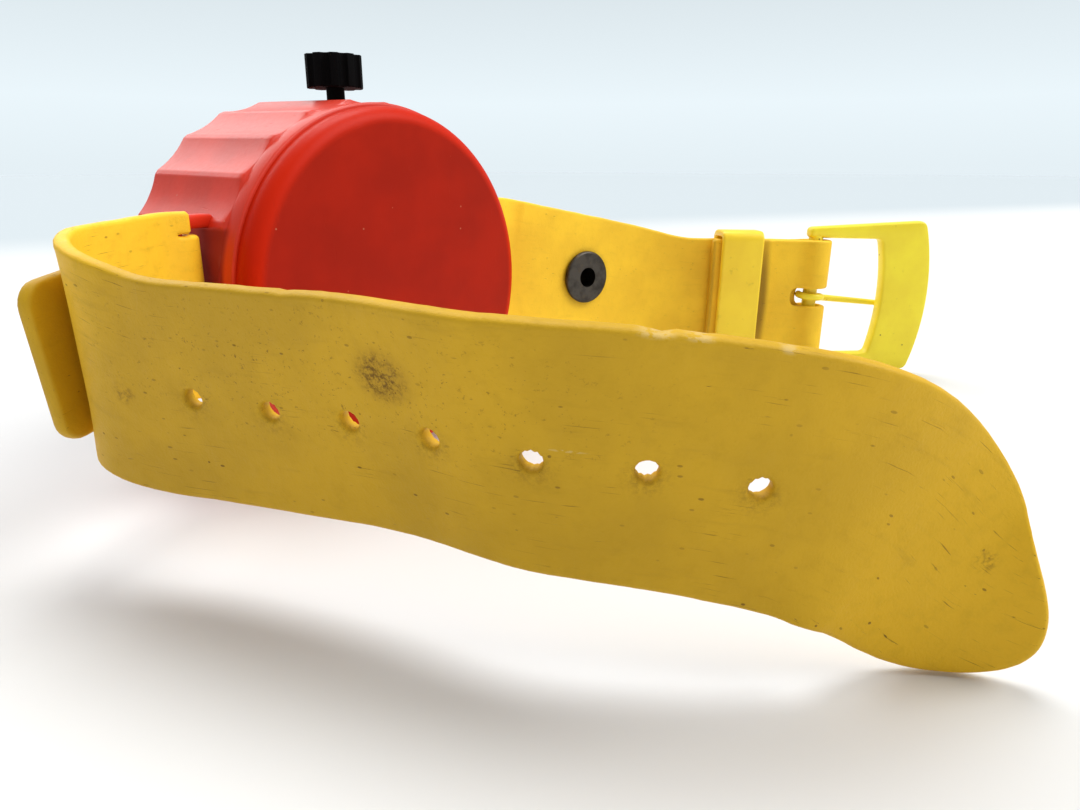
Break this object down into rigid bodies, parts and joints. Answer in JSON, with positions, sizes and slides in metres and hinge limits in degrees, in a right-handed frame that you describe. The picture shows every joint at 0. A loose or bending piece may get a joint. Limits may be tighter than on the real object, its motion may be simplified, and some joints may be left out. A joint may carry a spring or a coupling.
{
  "type": "toy wrist watch",
  "caption": "Toy wrist watch with a fluted red drum case, a black crown that turns the hands, and a yellow vinyl strap with rivets, keeper and buckle.",
  "frame": {"origin": "centre of the case's flat back face", "axes": "+Y out of the dial, +Z towards the crown, +X to the right when the back is seen with the crown up"},
  "size_m": [0.1201, 0.0872, 0.045],
  "materials": {
    "red_plastic": "moulded, satin gloss",
    "yellow_vinyl": "soft vinyl, worn",
    "bright_yellow": "moulded, gloss",
    "black_plastic": "moulded",
    "white_plastic": "moulded",
    "natural_nylon": "moulded",
    "clear_plastic": "clear, polished",
    "rivet_steel": "plated, dulled"
  },
  "bodies": {
    "case": {"case_body": "red_plastic", "back_cover": "red_plastic", "crystal": "clear_plastic", "dial": "white_plastic", "movement_plate": "white_plastic"},
    "minute": {"minute_arbor": "natural_nylon", "minute_hand": "black_plastic"},
    "relay": {"minute_wheel": "natural_nylon"},
    "hour": {"hour_wheel": "natural_nylon", "hour_hand": "black_plastic"},
    "crown": {"crown": "black_plastic", "stem": "black_plastic", "stem_pinion": "natural_nylon"},
    "long_strap": {"long_strap": "yellow_vinyl", "long_strap_rivet": "rivet_steel"},
    "short_strap": {"short_strap": "yellow_vinyl", "short_strap_rivet": "rivet_steel"},
    "keeper": {"keeper": "bright_yellow"},
    "buckle": {"buckle_frame": "bright_yellow"},
    "tongue": {"buckle_tongue": "bright_yellow"}
  },
  "joints": [
    {"name": "minute_spin", "type": "hinge", "parent": "case", "child": "minute", "pos_m": [0, 0, 0], "axis": [0, 1, 0], "continuous": true},
    {"name": "crown_spin", "type": "hinge", "parent": "case", "child": "crown", "pos_m": [0, 0.01019, 0], "axis": [0, 0, 1], "continuous": true},
    {"name": "relay_spin", "type": "hinge", "parent": "case", "child": "relay", "pos_m": [-0.00402, 0, -0.00573], "axis": [0, 1, 0], "continuous": true},
    {"name": "hour_spin", "type": "hinge", "parent": "case", "child": "hour", "pos_m": [0, 0, 0], "axis": [0, 1, 0], "continuous": true},
    {"name": "long_strap_swing", "type": "hinge", "parent": "case", "child": "long_strap", "pos_m": [-0.0219, 0.008, 0], "axis": [0, 0, 1], "range_deg": [-60, 20]},
    {"name": "short_strap_swing", "type": "hinge", "parent": "case", "child": "short_strap", "pos_m": [0.0219, 0.008, 0], "axis": [0, 0, 1], "range_deg": [-15, 60]},
    {"name": "keeper_slide", "type": "slide", "parent": "short_strap", "child": "keeper", "axis": [0.6946, -0.7192, -0.0175], "range_m": [-0.001, 0.0025]},
    {"name": "buckle_swing", "type": "hinge", "parent": "short_strap", "child": "buckle", "pos_m": [0.06766, -0.02078, -0.00725], "axis": [0.0121, -0.0126, 0.9998], "range_deg": [-25, 25]},
    {"name": "tongue_swing", "type": "hinge", "parent": "buckle", "child": "tongue", "pos_m": [0.06766, -0.02078, -0.00725], "axis": [0.0121, -0.0126, 0.9998], "range_deg": [0, 80]}
  ],
  "couplings": [
    {"joint": "crown_spin", "follows": "minute_spin", "ratio": 4},
    {"joint": "relay_spin", "follows": "minute_spin", "ratio": -0.33333},
    {"joint": "hour_spin", "follows": "minute_spin", "ratio": 0.083333}
  ]
}
